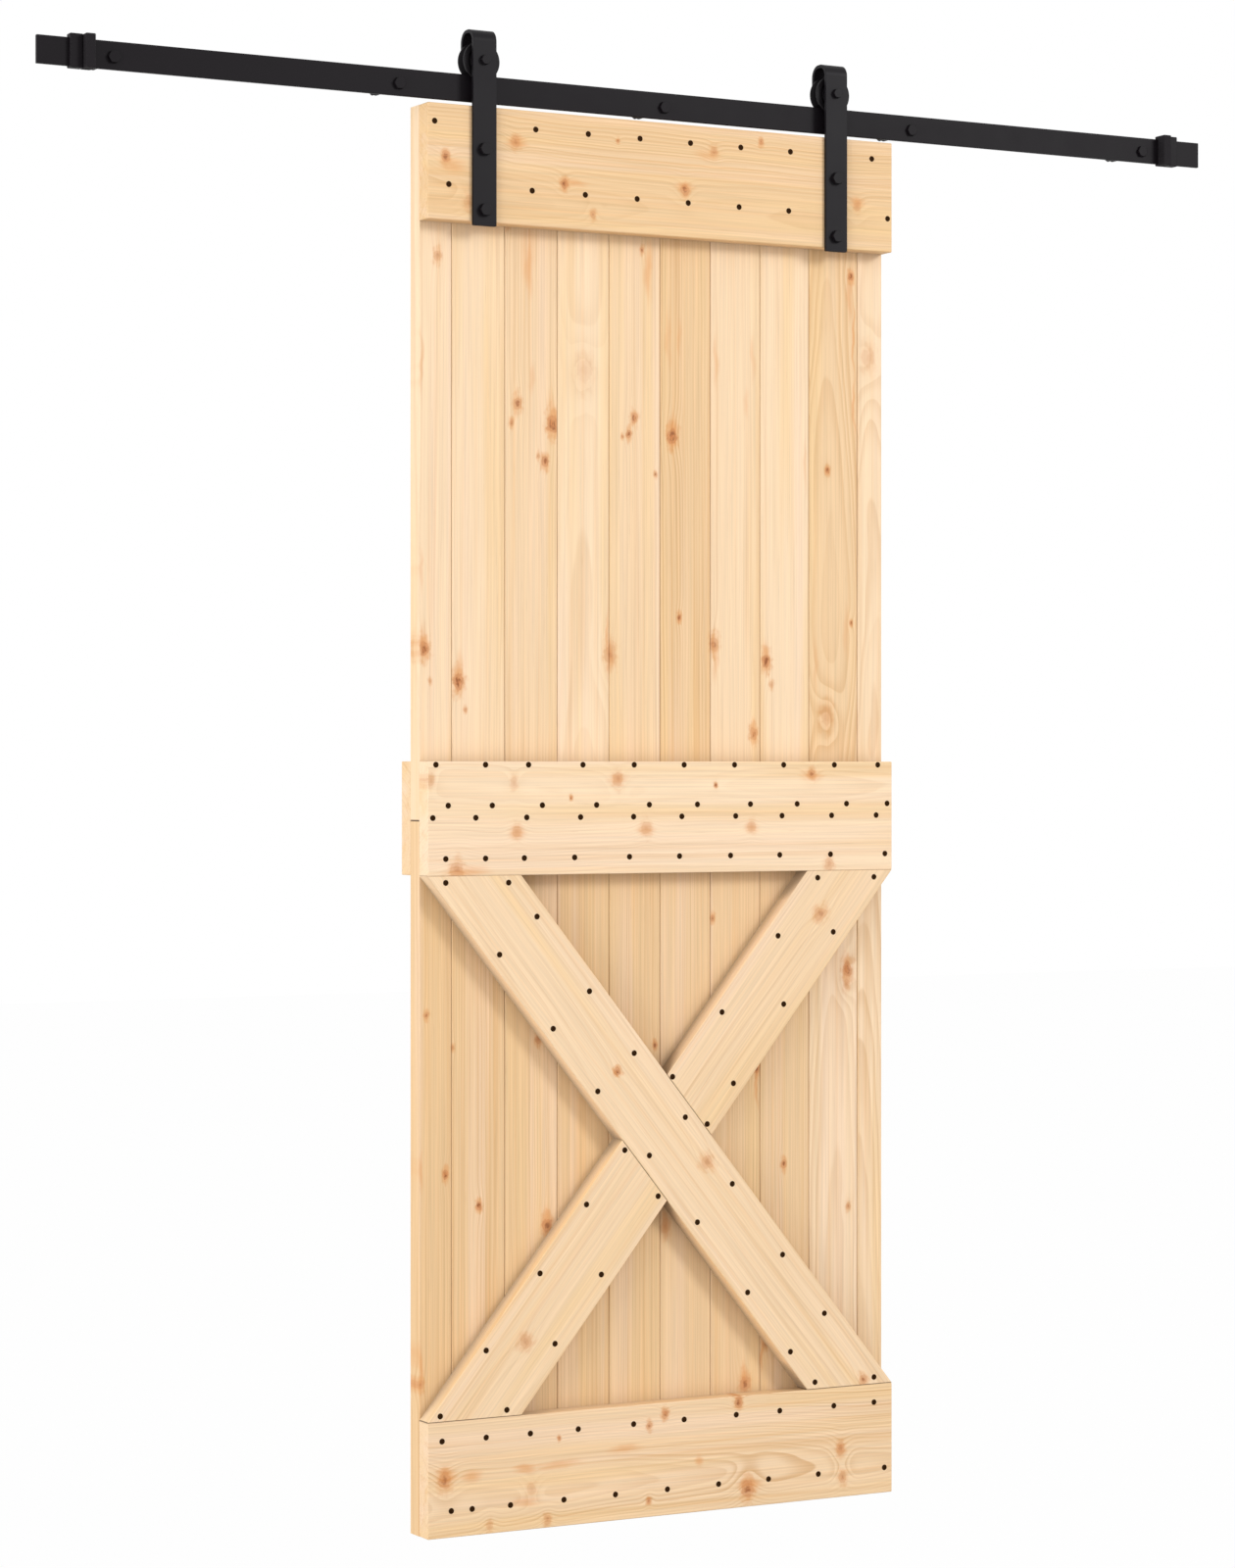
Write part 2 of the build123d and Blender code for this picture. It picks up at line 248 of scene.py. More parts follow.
def knot_group():
    """One knot: the rings bend round it, its rim is warm and its core is reddish and dark inside. Squeeze
    tells how little it reaches across, in depth and along the grain; with 0 it runs right through. The core
    is rounder than the rim."""
    rim_waver, core_waver = 2.4, 1.5
    bend_narrowness, bend_depth = 0.42, 0.8
    core_edge, core_inside = 0.55, 0.45
    tree, given, result = start_group(
        "knot",
        {"Place": "Vector", "Centre": "Vector", "Radius": "Float", "Depth": "Float", "Squeeze": "Vector",
         "Bend": "Float", "Halo": "Float", "Core": "Float"},
        {"Bend": "Float", "Halo": "Float", "Core": "Float"})
    away = reckon_vector(tree, "SUBTRACT", given["Place"], given["Centre"])
    wavy = noise(tree, given["Place"], given["Radius"], (120.0, 0.0, 90.0), 4.0).outputs["Fac"]
    long_radii = reckon_vector(tree, "LENGTH", reckon_vector(tree, "MULTIPLY", away, given["Squeeze"]))
    long_radii = reckon(tree, "DIVIDE", long_radii, given["Radius"])
    rounder = reckon_vector(tree, "MULTIPLY_ADD", given["Squeeze"], (0.5, 0.5, 0.5), (0.5, 0.0, 0.5))
    core_radii = reckon_vector(tree, "LENGTH", reckon_vector(tree, "MULTIPLY", away, rounder))
    core_radii = reckon(tree, "DIVIDE", core_radii, given["Radius"])
    core_waves = reckon(tree, "MULTIPLY_ADD", wavy, core_waver, -core_waver / 2)
    core_radii = reckon(tree, "ADD", core_radii, core_waves)
    rim_waves = reckon(tree, "MULTIPLY_ADD", wavy, rim_waver, -rim_waver / 2)
    rim_radii = reckon(tree, "ADD", long_radii, rim_waves)
    spread = reckon(tree, "MULTIPLY", long_radii, bend_narrowness)
    fall = reckon(tree, "MULTIPLY", reckon(tree, "MULTIPLY", spread, spread), -1.0)
    bend = reckon(tree, "MULTIPLY", given["Radius"], bend_depth)
    bend = reckon(tree, "MULTIPLY", reckon(tree, "EXPONENT", fall), bend)
    halo = reckon(tree, "MULTIPLY", step_between(tree, rim_radii, 1.8, 0.7), given["Depth"])
    disc = reckon(tree, "MULTIPLY", step_between(tree, core_radii, 1.1, 0.9), core_edge)
    disc = reckon(tree, "MULTIPLY_ADD", step_between(tree, core_radii, 0.7, 0.2), core_inside, disc)
    core = reckon(tree, "MULTIPLY", disc, given["Depth"])
    feed(tree, reckon(tree, "ADD", given["Bend"], bend), result["Bend"])
    feed(tree, reckon(tree, "MAXIMUM", given["Halo"], halo), result["Halo"])
    feed(tree, reckon(tree, "MAXIMUM", given["Core"], core), result["Core"])
    return tree


def streak_group():
    """One resin streak: a long warm stain along the grain that frays into the fibres."""
    sideways, frayed = 0.014, 1.0
    tree, given, result = start_group(
        "streak",
        {"Place": "Vector", "Centre": "Vector", "Half Width": "Float", "Half Length": "Float",
         "Depth": "Float", "Streak": "Float"},
        {"Streak": "Float"})
    away = reckon_vector(tree, "SUBTRACT", given["Place"], given["Centre"])
    parts = tree.nodes.new("ShaderNodeSeparateXYZ")
    feed(tree, away, parts.inputs["Vector"])
    wander = noise(tree, given["Place"], given["Half Length"], (0.0, 0.0, 22.0), 2.0).outputs["Fac"]
    fray = noise(tree, given["Place"], given["Half Length"], (260.0, 0.0, 9.0), 2.0).outputs["Fac"]
    wander = reckon(tree, "MULTIPLY_ADD", wander, sideways, -sideways / 2)
    across = reckon(tree, "ADD", parts.outputs["X"], wander)
    across = reckon(tree, "DIVIDE", across, given["Half Width"])
    along = reckon(tree, "DIVIDE", parts.outputs["Z"], given["Half Length"])
    away = reckon(tree, "SQRT", reckon(tree, "ADD", reckon(tree, "MULTIPLY", across, across),
                                       reckon(tree, "MULTIPLY", along, along)))
    away = reckon(tree, "ADD", away, reckon(tree, "MULTIPLY_ADD", fray, frayed, -frayed / 2))
    stain = reckon(tree, "MULTIPLY", step_between(tree, away, 1.1, 0.1), given["Depth"])
    feed(tree, reckon(tree, "MAXIMUM", given["Streak"], stain), result["Streak"])
    return tree


def pine_group():
    """Solid pine: growth rings round a pith behind or beside the board, fine fibres, soft bands and resin
    ducts, with the colours of the knots and streaks over them."""
    pale_wood, deep_wood = srgb(250, 222, 187), srgb(232, 194, 144)
    rosy_wood, golden_wood, thread_wood = srgb(249, 219, 193), srgb(242, 205, 149), srgb(229, 182, 126)
    late_wood, duct_wood, resin = srgb(207, 156, 97), srgb(176, 124, 76), srgb(226, 154, 88)
    knot_rim, knot_core, knot_heart = srgb(224, 155, 92), srgb(198, 120, 64), srgb(132, 72, 34)
    rosy_share, golden_share, duct_share = 0.36, 0.5, 0.14
    rim_share, core_share, heart_share = 0.62, 0.85, 0.75
    ripple_depth, ring_unevenness = 0.0045, 1.7
    fibre_contrast, fibre_floor = 0.38, 0.81
    tree, given, result = start_group(
        "pine",
        {"Place": "Vector", "Seed": "Float", "Pith Across": "Float", "Pith Depth": "Float", "Taper": "Float",
         "Sway": "Float", "Ring Width": "Float", "Ring Depth": "Float", "Tone": "Float",
         "Bend": "Float", "Halo": "Float", "Core": "Float", "Streak": "Float"},
        {"Colour": "Color", "Roughness": "Float", "Height": "Float"})
    place, seed = given["Place"], given["Seed"]
    parts = tree.nodes.new("ShaderNodeSeparateXYZ")
    feed(tree, place, parts.inputs["Vector"])
    drift = tree.nodes.new("ShaderNodeSeparateColor")
    feed(tree, noise(tree, place, seed, (2.0, 2.0, 1.1), 2.0).outputs["Color"], drift.inputs["Color"])
    ripple = noise(tree, place, seed, (24.0, 24.0, 5.0), 2.0).outputs["Fac"]
    across = reckon(tree, "SUBTRACT", parts.outputs["X"], given["Pith Across"])
    drift_across = reckon(tree, "SUBTRACT", drift.outputs["Red"], 0.5)
    across = reckon(tree, "ADD", across, reckon(tree, "MULTIPLY", drift_across, given["Sway"]))
    depth = reckon(tree, "SUBTRACT", parts.outputs["Y"], given["Pith Depth"])
    drift_depth = reckon(tree, "SUBTRACT", drift.outputs["Green"], 0.5)
    depth = reckon(tree, "ADD", depth, reckon(tree, "MULTIPLY", drift_depth, given["Sway"]))
    from_pith = reckon(tree, "SQRT", reckon(tree, "ADD", reckon(tree, "MULTIPLY", across, across),
                                            reckon(tree, "MULTIPLY", depth, depth)))
    taper = reckon(tree, "MULTIPLY", parts.outputs["Z"], given["Taper"])
    from_pith = reckon(tree, "ADD", reckon(tree, "ADD", from_pith, taper), given["Bend"])
    from_pith = reckon(tree, "ADD", from_pith, reckon(tree, "MULTIPLY", ripple, ripple_depth))
    rings = reckon(tree, "DIVIDE", from_pith, given["Ring Width"])
    uneven = tree.nodes.new("ShaderNodeTexNoise")
    uneven.noise_dimensions = "1D"
    feed(tree, reckon(tree, "MULTIPLY_ADD", rings, 0.4, seed), uneven.inputs["W"])
    uneven.inputs["Scale"].default_value = 1.0
    rings = reckon(tree, "MULTIPLY_ADD", uneven.outputs["Fac"], ring_unevenness, rings)
    part_of_year = reckon(tree, "FRACT", rings)
    late = reckon(tree, "MULTIPLY", step_between(tree, part_of_year, 0.15, 0.90),
                  step_between(tree, part_of_year, 1.0, 0.90))
    year = tree.nodes.new("ShaderNodeTexWhiteNoise")
    year.noise_dimensions = "1D"
    feed(tree, reckon(tree, "ADD", reckon(tree, "FLOOR", rings), seed), year.inputs["W"])
    late = reckon(tree, "MULTIPLY", late, reckon(tree, "MULTIPLY_ADD", year.outputs["Value"], 0.75, 0.25))
    faded = noise(tree, place, seed, (12.0, 12.0, 1.8), 1.0).outputs["Fac"]
    faded = reckon(tree, "MULTIPLY_ADD", step_between(tree, faded, 0.35, 0.6), 0.6, 0.4)
    late = reckon(tree, "MULTIPLY", late, faded)
    ring_depth = reckon(tree, "MULTIPLY_ADD", given["Halo"], 0.8, given["Ring Depth"])
    late = reckon(tree, "MULTIPLY", late, ring_depth)
    fibres = noise(tree, place, seed, (420.0, 420.0, 5.0), 3.0).outputs["Fac"]
    ducts = noise(tree, place, seed, (900.0, 900.0, 24.0), 1.0).outputs["Fac"]
    ducts = reckon(tree, "MULTIPLY", step_between(tree, ducts, 0.66, 0.76), duct_share)
    rosy = noise(tree, place, reckon(tree, "ADD", seed, 3.0), (34.0, 34.0, 0.8), 1.0).outputs["Fac"]
    golden = noise(tree, place, reckon(tree, "ADD", seed, 8.0), (27.0, 27.0, 1.0), 2.0).outputs["Fac"]
    threads = noise(tree, place, reckon(tree, "ADD", seed, 15.0), (110.0, 110.0, 1.4), 2.0).outputs["Fac"]
    rosy = reckon(tree, "MULTIPLY", step_between(tree, rosy, 0.50, 0.66), rosy_share)
    golden = reckon(tree, "MULTIPLY", step_between(tree, golden, 0.48, 0.68), golden_share)
    threading = reckon(tree, "MULTIPLY_ADD", given["Ring Depth"], 0.5, 0.16)
    threads = reckon(tree, "MULTIPLY", step_between(tree, threads, 0.50, 0.72), threading)

    colour = tint(tree, given["Tone"], pale_wood, deep_wood)
    colour = tint(tree, rosy, colour, rosy_wood)
    colour = tint(tree, golden, colour, golden_wood)
    colour = tint(tree, threads, colour, thread_wood)
    colour = tint(tree, late, colour, late_wood)
    fibre_shade = reckon(tree, "MULTIPLY_ADD", fibres, fibre_contrast, fibre_floor)
    shade = tree.nodes.new("ShaderNodeCombineColor")
    for channel in ("Red", "Green", "Blue"):
        feed(tree, fibre_shade, shade.inputs[channel])
    colour = tint(tree, 1.0, colour, shade.outputs["Color"], "MULTIPLY")
    colour = tint(tree, ducts, colour, duct_wood)
    colour = tint(tree, given["Streak"], colour, resin)
    colour = tint(tree, reckon(tree, "MULTIPLY", given["Halo"], rim_share), colour, knot_rim)
    colour = tint(tree, reckon(tree, "MULTIPLY", given["Core"], core_share), colour, knot_core)
    specks = noise(tree, place, seed, (260.0, 260.0, 120.0), 2.0).outputs["Fac"]
    heart = reckon(tree, "MULTIPLY", step_between(tree, given["Core"], 0.35, 0.9),
                   step_between(tree, specks, 0.4, 0.58))
    colour = tint(tree, reckon(tree, "MULTIPLY", heart, heart_share), colour, knot_heart)
    feed(tree, colour, result["Colour"])
    feed(tree, reckon(tree, "MULTIPLY_ADD", late, -0.12, 0.62), result["Roughness"])
    height = reckon(tree, "MULTIPLY_ADD", late, 0.6, reckon(tree, "MULTIPLY", fibres, 0.5))
    feed(tree, height, result["Height"])
    return tree


knot_shape = knot_group()
streak_shape = streak_group()
pine_wood = pine_group()

# How a board is sawn from the trunk: how far behind the board's middle the pith lies, how fast the trunk
# tapers, and how far the rings sway. Sawn to one side of the pith the grain is straight, and flat-sawn grain
# makes arches. The rails come from a crooked trunk with wavy grain, the braces from a straighter one.
straight_cut = {"Pith_Depth": 0.05, "Taper": 0.004, "Sway": 0.016}
flat_cut = {"Pith_Depth": 0.07, "Taper": 0.016, "Sway": 0.06}
wavy_cut = {"Pith_Depth": 0.05, "Taper": 0.02, "Sway": 0.1}
brace_cut = {"Pith_Depth": 0.05, "Taper": 0.012, "Sway": 0.045}

# The knots of the panel's boards run through them and are half as wide as they are long
board_knot_squeeze = (1.0, 0.0, 0.5)


def pine(name, middle, turn, seed, pith_across, ring_width, ring_depth, tone, cut, seam_z, knots, streaks=(),
         squeeze=board_knot_squeeze, corner_shade=0.38):
    """The pine of one board. Turn is the angle about Y that brings the board upright for its rings. Painted
    shade darkens a band along the joint at the height seam_z, and inner corners by corner_shade. Knots are
    (x, z, radius, depth) and streaks (x, z, half width, half length, depth), in the door's frame."""
    # Painted shade: the grey-brown that inner corners take, and how far the occlusion that finds them reaches
    corner_reach, corner_shade_colour = 45 * mm, srgb(150, 130, 106)
    # Painted shade: the dark band along the joint at seam_z, which stands in for the shade in its gap
    seam_inner, seam_outer, seam_shade_share, seam_shade_colour = 0.8 * mm, 1.6 * mm, 0.85, srgb(84, 56, 36)
    gloss, relief_strength, relief_depth = 0.3, 0.3, 0.2 * mm
    material = bpy.data.materials.new(name)
    material.use_nodes = True
    tree = material.node_tree
    spot = tree.nodes.new("ShaderNodeTexCoord").outputs["Object"]
    upright = tree.nodes.new("ShaderNodeVectorRotate")
    upright.rotation_type = "Y_AXIS"
    feed(tree, reckon_vector(tree, "SUBTRACT", spot, tuple(middle)), upright.inputs["Vector"])
    upright.inputs["Angle"].default_value = turn
    place = upright.outputs["Vector"]

    def on_board(x, z):
        """A point of the door's face, seen from the board's middle once the board is upright."""
        dx, dz = x - middle.x, z - middle.z
        cosine, sine = math.cos(turn), math.sin(turn)
        return (dx * cosine + dz * sine, 0.0, dz * cosine - dx * sine)

    seen = {"Bend": 0.0, "Halo": 0.0, "Core": 0.0}
    for x, z, radius, depth in knots:
        outputs = place_group(tree, knot_shape, Place=place, Centre=on_board(x, z), Radius=radius, Depth=depth,
                              Squeeze=squeeze, **seen)
        seen = {label: outputs[label] for label in seen}
    stain = 0.0
    for x, z, half_width, half_length, depth in streaks:
        outputs = place_group(tree, streak_shape, Place=place, Centre=on_board(x, z), Half_Width=half_width,
                              Half_Length=half_length, Depth=depth, Streak=stain)
        stain = outputs["Streak"]
    wood = place_group(tree, pine_wood, Place=place, Seed=seed, Pith_Across=pith_across, Ring_Width=ring_width,
                       Ring_Depth=ring_depth, Tone=tone, Streak=stain, **cut, **seen)
    # Painted shade in inner corners: where ambient occlusion finds a near surface, the wood is tinted towards
    # a grey-brown shade colour
    corner = tree.nodes.new("ShaderNodeAmbientOcclusion")
    corner.samples = 8
    corner.inputs["Distance"].default_value = corner_reach
    shade = step_between(tree, corner.outputs["AO"], 0.95, 0.35)
    shade = reckon(tree, "MULTIPLY", shade, corner_shade)
    surface = tree.nodes["Principled BSDF"]
    surface.inputs["Specular IOR Level"].default_value = gloss
    colour = tint(tree, shade, wood["Colour"], corner_shade_colour)
    # Painted shade of the joint: a dark band within a millimetre or two of the height seam_z
    parts = tree.nodes.new("ShaderNodeSeparateXYZ")
    feed(tree, spot, parts.inputs["Vector"])
    from_seam = reckon(tree, "ABSOLUTE", reckon(tree, "SUBTRACT", parts.outputs["Z"], seam_z))
    seam = reckon(tree, "MULTIPLY", step_between(tree, from_seam, seam_outer, seam_inner), seam_shade_share)
    feed(tree, tint(tree, seam, colour, seam_shade_colour), surface.inputs["Base Color"])
    feed(tree, wood["Roughness"], surface.inputs["Roughness"])
    relief = tree.nodes.new("ShaderNodeBump")
    relief.inputs["Strength"].default_value = relief_strength
    relief.inputs["Distance"].default_value = relief_depth
    feed(tree, wood["Height"], relief.inputs["Height"])
    feed(tree, relief.outputs["Normal"], surface.inputs["Normal"])
    return material


def finish_node(name, material):
    """Gives a node of the frame its material."""
    mesh = nodes[name].data
    mesh.materials.clear()
    mesh.materials.append(material)


def node_middle(name):
    """The middle of a node's box."""
    low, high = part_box(name)
    return (low + high) / 2


def from_door_corner(marks):
    """Knots or streaks measured in millimetres from the leaf's lower left corner, in the door's frame. The
    last value of each is how dark it is."""
    return [(leaf_left_bottom.x + x * mm, leaf_bottom_z + z * mm, *[size * mm for size in sizes], depth)
            for x, z, *sizes, depth in marks]


def on_node(marks, name):
    """Those of the marks that lie within a node."""
    low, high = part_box(name)
    return [mark for mark in marks if low.x <= mark[0] < high.x and low.z <= mark[1] < high.z]


# Knots of the panel: across, up, radius and how dark
panel_knots = from_door_corner([
    (8, 1302, 8, 0.9), (64, 1254, 9, 0.9), (18, 1255, 3, 0.5), (76, 1213, 3, 0.6), (30, 1880, 6, 0.5),
    (162, 1669, 7, 0.7), (152, 1640, 4, 0.7), (221, 1640, 10, 0.85), (208, 1584, 6, 0.9),
    (196, 1592, 3, 0.6), (145, 1935, 4, 0.7), (274, 1723, 13, 0.22), (318, 1298, 10, 0.5),
    (359, 1656, 6, 0.75), (350, 1631, 5, 0.85), (339, 1627, 2.5, 0.7), (373, 1910, 3.5, 0.7),
    (396, 1572, 3, 0.7), (425, 1631, 9, 0.95), (437, 1356, 4, 0.9), (498, 1316, 8, 0.6),
    (590, 1292, 8, 0.9), (600, 1255, 4, 0.5), (568, 1180, 7, 0.7), (701, 1589, 4, 0.95),
    (743, 1892, 5, 0.95), (744, 1353, 3, 0.8), (699, 1208, 11, 0.35), (776, 1767, 11, 0.3),
    (496, 898, 4, 0.8), (737, 814, 9, 0.85), (735, 791, 6, 0.4), (197, 722, 5, 0.8), (395, 707, 4, 0.8),
    (573, 665, 5, 0.85), (211, 446, 8, 0.85), (413, 432, 8, 0.4), (43, 529, 5, 0.9), (98, 480, 5, 0.9),
    (12, 764, 4, 0.7), (55, 715, 3, 0.6), (622, 516, 5, 0.8), (738, 446, 4, 0.6), (553, 182, 9, 0.7),
    (589, 241, 5, 0.6), (3, 222, 5, 0.6),
])

# Resin streaks: across, up, half width, half length and how dark
panel_streaks = from_door_corner([
    (181, 1875, 11, 60, 0.5), (187, 1706, 7, 30, 0.3), (219, 1655, 9, 46, 0.45), (384, 1880, 10, 60, 0.5),
    (418, 1777, 7, 55, 0.3), (438, 1783, 5, 40, 0.3), (501, 1746, 6, 48, 0.32), (567, 1755, 6, 45, 0.26),
    (556, 1686, 6, 30, 0.25), (741, 1858, 7, 50, 0.45), (749, 1690, 3.5, 65, 0.6), (314, 1321, 4, 70, 0.5),
    (318, 1296, 6, 26, 0.5), (500, 1300, 7, 52, 0.35), (735, 1341, 7, 52, 0.28), (8, 1312, 9, 36, 0.45),
    (64, 1268, 9, 36, 0.45), (679, 1285, 5, 60, 0.25), (569, 1185, 7, 24, 0.35), (3, 534, 4, 40, 0.5),
    (574, 640, 4, 48, 0.6), (413, 438, 8, 34, 0.55), (212, 450, 8, 30, 0.4), (737, 806, 8, 34, 0.4),
    (3, 248, 4, 50, 0.55), (582, 228, 3.5, 44, 0.6), (551, 190, 6, 34, 0.55), (425, 1640, 9, 34, 0.4),
    (745, 1880, 5, 40, 0.4), (590, 1300, 7, 34, 0.35), (748, 1800, 3, 80, 0.7), (180, 1900, 18, 70, 0.25),
    (660, 1600, 4, 60, 0.3), (10, 1960, 6, 40, 0.4), (4, 1720, 4, 60, 0.4), (4, 1420, 4, 40, 0.3),
])

# Each board in turn: tone, how deep its rings show, and whether it is flat-sawn
boards = {
    "upper": [(0.12, 0.2, 0), (0.14, 0.2, 0), (0.38, 0.34, 0), (0.02, 0.28, 1), (0.34, 0.34, 0),
              (0.75, 0.6, 0), (0.2, 0.28, 0), (0.06, 0.2, 0), (0.62, 0.5, 1), (0.14, 0.32, 1)],
    "lower": [(0.85, 0.5, 0), (0.8, 0.5, 0), (0.8, 0.36, 0), (0.85, 0.36, 0), (0.78, 0.36, 0),
              (0.72, 0.34, 0), (0.68, 0.36, 0), (0.66, 0.38, 0), (0.1, 0.5, 1), (0.05, 0.45, 1)],
}
board_chance = random.Random(11)
# The upper and lower boards meet at this height, where painted shade darkens the joint
panel_split_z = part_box("lower_board_01")[1].z
for row, stock in boards.items():
    for number, (tone, ring_depth, is_flat) in enumerate(stock, start=1):
        board = f"{row}_board_{number:02d}"
        side = board_chance.choice((-1, 1))
        pith_across = side * (board_chance.uniform(0, 0.02) if is_flat else board_chance.uniform(0.10, 0.22))
        ring_width = board_chance.uniform(3.2, 4.8) * mm
        seed = board_chance.uniform(0, 50)
        wood = pine(board, node_middle(board), 0.0, seed, pith_across, ring_width, ring_depth, tone,
                    flat_cut if is_flat else straight_cut, panel_split_z,
                    on_node(panel_knots, board), on_node(panel_streaks, board))
        finish_node(board, wood)


# The cross rails: four pine boards of the same stock that lie across the panel, three on its front and
# one on its back behind the middle one. Their grain runs from side to side.
lying = math.radians(-90)
above_the_door = 10.0

# Knots of the rails, which reach farthest across the grain
rail_knot_squeeze = (0.65, 0.0, 1.0)
rail_knots = {
    "top_rail": [(144, 2052, 7, 0.5), (225, 1996, 6, 0.9), (273, 1953, 5, 0.65), (315, 2067, 3, 0.7),
                 (481, 2063, 6, 0.5), (430, 2001, 7, 0.75), (564, 2084, 4, 0.8), (29, 2022, 7, 0.75),
                 (736, 1997, 6, 0.45), (66, 1958, 8, 0.4)],
    "middle_rail": [(315, 1110, 8, 0.5), (236, 1083, 3, 0.9), (146, 1033, 7, 0.35), (363, 1037, 8, 0.35),
                    (654, 1119, 6, 0.65), (547, 1038, 7, 0.35), (47, 978, 10, 0.5), (686, 979, 8, 0.45),
                    (5, 1108, 6, 0.4), (141, 1106, 6, 0.35), (484, 1101, 3, 0.8)],
    "bottom_rail": [(27, 84, 10, 0.65), (196, 12, 6, 0.55), (369, 137, 5, 0.7), (396, 153, 6, 0.8),
                    (540, 28, 11, 0.75), (706, 75, 8, 0.5), (710, 30, 7, 0.55), (524, 161, 7, 0.85),
                    (368, 25, 4, 0.75), (216, 131, 3, 0.8), (100, 12, 6, 0.35), (170, 60, 7, 0.3)],
    "back_middle_rail": [(120, 1080, 8, 0.6), (410, 1020, 9, 0.5), (655, 1100, 6, 0.7)],
}

# Resin stains of the rails
rail_streaks = {
    "top_rail": [(146, 2050, 12, 22, 0.55), (40, 2010, 14, 30, 0.5), (736, 2005, 12, 18, 0.5),
                 (240, 1998, 8, 30, 0.5), (470, 2058, 9, 34, 0.4), (430, 2006, 9, 22, 0.5)],
    "middle_rail": [(146, 1030, 13, 18, 0.5), (363, 1034, 12, 20, 0.45), (60, 975, 12, 50, 0.5),
                    (654, 1116, 12, 26, 0.5), (315, 1110, 10, 24, 0.45), (547, 1036, 10, 18, 0.4)],
    "bottom_rail": [(30, 90, 20, 22, 0.6), (71, 87, 12, 22, 0.55), (160, 90, 10, 24, 0.55),
                    (215, 92, 9, 50, 0.45), (327, 105, 9, 40, 0.5), (160, 40, 10, 30, 0.45),
                    (455, 77, 12, 10, 0.55), (706, 74, 12, 12, 0.5), (545, 34, 14, 26, 0.55)],
    "back_middle_rail": [],
}

# Each rail's seed, how far its pith lies to the side, ring width in millimetres, tone and how deep its
# rings show. A rail gets no painted joint shade, so its seam lies above the door.
rail_stock = {"top_rail": (3.0, 0.045, 3.8, 0.8, 0.55), "middle_rail": (14.0, -0.05, 4.2, 0.0, 0.25),
              "bottom_rail": (21.0, 0.03, 3.4, 0.3, 0.6), "back_middle_rail": (33.0, 0.03, 4.6, 0.4, 0.35)}
for rail, (seed, pith_across, ring_width, tone, ring_depth) in rail_stock.items():
    knots, streaks = from_door_corner(rail_knots[rail]), from_door_corner(rail_streaks[rail])
    wood = pine(rail, node_middle(rail), lying, seed, pith_across, ring_width * mm, ring_depth, tone, wavy_cut,
                above_the_door, knots, streaks, squeeze=rail_knot_squeeze)
    finish_node(rail, wood)


# The cross braces: one whole pine board from the upper left to the lower right of the field below the
# middle rail, and another in two halves that butt against it. The grain runs along each brace.
brace_width = 119 * mm
field_low, field_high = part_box("long_brace")
field_width = field_high.x - field_low.x
field_height = field_high.z - field_low.z
field_diagonal = math.hypot(field_width, field_height)
brace_slope = math.atan2(field_height, field_width) + math.asin(brace_width / field_diagonal)
falling = math.atan2(-math.cos(brace_slope), -math.sin(brace_slope))
rising = math.atan2(-math.cos(brace_slope), math.sin(brace_slope))
brace_knots = from_door_corner([(314, 672, 5, 0.9), (469, 529, 9, 0.5), (747, 180, 6, 0.7),
                                (670, 903, 9, 0.55), (160, 278, 9, 0.5)])

# Each brace's direction, seed, tone and knots; the two halves come from one board
brace_stock = {"long_brace": (falling, 41.0, 0.2, brace_knots[:3]),
               "upper_short_brace": (rising, 46.0, 0.3, brace_knots[3:4]),
               "lower_short_brace": (rising, 46.0, 0.25, brace_knots[4:])}
brace_pith_across = 0.06
brace_ring_width = 5.5 * mm
brace_ring_depth = 0.26
brace_knot_squeeze = (0.8, 0.0, 0.7)
# How strongly painted shade darkens the braces' inner corners, along their sides next to the panel
brace_corner_shade = 0.9
crossing = node_middle("long_brace")
# A brace's lower end meets the bottom rail at field_low.z, where painted shade darkens the joint
for brace, (turn, seed, tone, knots) in brace_stock.items():
    wood = pine(brace, crossing, turn, seed, brace_pith_across, brace_ring_width, brace_ring_depth, tone,
                brace_cut, field_low.z, knots, squeeze=brace_knot_squeeze, corner_shade=brace_corner_shade)
    finish_node(brace, wood)


# The wood screws: small steel screws with a black finish, a low crowned head and a cross recess. They hold
# every board to each rail and brace, in rows that follow the boards, and are driven nearly flush.
head_radius = 4.4 * mm
head_crown = 0.6 * mm
rim_inset, rim_rise = 0.1 * mm, 0.2 * mm
shoulder_inset, shoulder_share = 0.6 * mm, 0.85
crown_beyond_recess = 0.25 * mm
recess_reach = 2.2 * mm
recess_half_width = 0.5 * mm
recess_depth = 0.5 * mm
recess_taper = 0.75


def cross_radius(angle):
    """How far the cross recess reaches at an angle."""
    angle = abs((angle + math.pi / 4) % (math.pi / 2) - math.pi / 4)
    return min(recess_reach / math.cos(angle), recess_half_width / max(math.sin(angle), 1e-6))


def head_rings():
    """The rings of points of one head, from the rim on the wood to the floor of the recess."""
    corner = math.atan2(recess_half_width, recess_reach)
    between_arms = [math.radians(degrees) for degrees in (29, 45, 61)]
    quarter = [0.0, corner, *between_arms, math.pi / 2 - corner]
    angles = [turn * math.pi / 2 + angle for turn in range(4) for angle in quarter]
    crown = recess_reach + crown_beyond_recess
    rings = [
        [(a, head_radius, 0.0) for a in angles],
        [(a, head_radius - rim_inset, rim_rise) for a in angles],
        [(a, head_radius - shoulder_inset, head_crown * shoulder_share) for a in angles],
        [(a, crown, head_crown) for a in angles],
        [(a, cross_radius(a), head_crown) for a in angles],
        [(a, cross_radius(a) * recess_taper, head_crown - recess_depth) for a in angles],
    ]
    return rings


